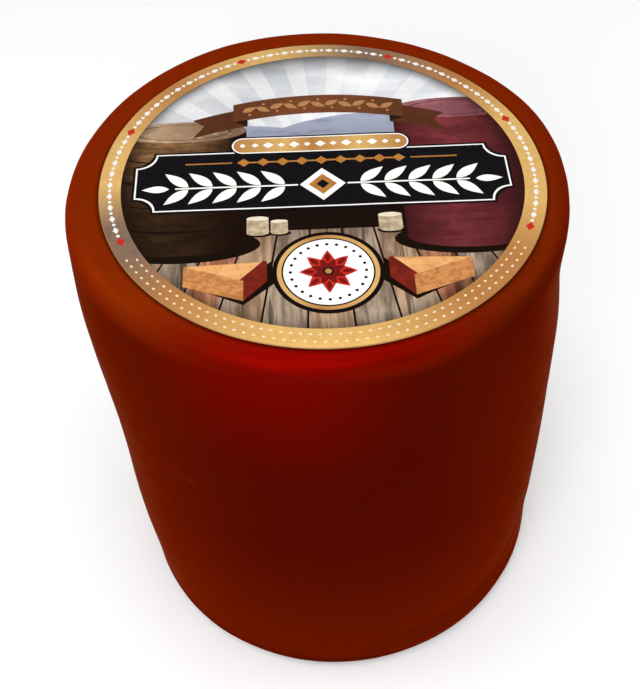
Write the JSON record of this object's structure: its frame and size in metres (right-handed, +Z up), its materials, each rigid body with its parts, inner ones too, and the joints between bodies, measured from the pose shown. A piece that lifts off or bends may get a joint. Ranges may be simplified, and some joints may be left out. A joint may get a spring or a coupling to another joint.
{
  "type": "waxed cheese truckle",
  "caption": "Tall round drum of cheddar in a dark red-brown wax coat, with a round printed label on its flat top; stands on its flat base.",
  "frame": {"origin": "middle of the flat base, on the surface that the cheese stands on", "axes": "+Z up along the drum's axis, -Y towards the front of the label, +X to the label's right"},
  "size_m": [0.1323, 0.1316, 0.1536],
  "materials": {
    "red_brown_wax": "smooth semi-matte food wax, dark red-brown, slightly translucent",
    "label_print": "gloss-coated paper with a gold border, colour fields and a black plaque"
  },
  "bodies": {
    "root": {"wax_wheel": "red_brown_wax", "label": "label_print"}
  },
  "joints": []
}
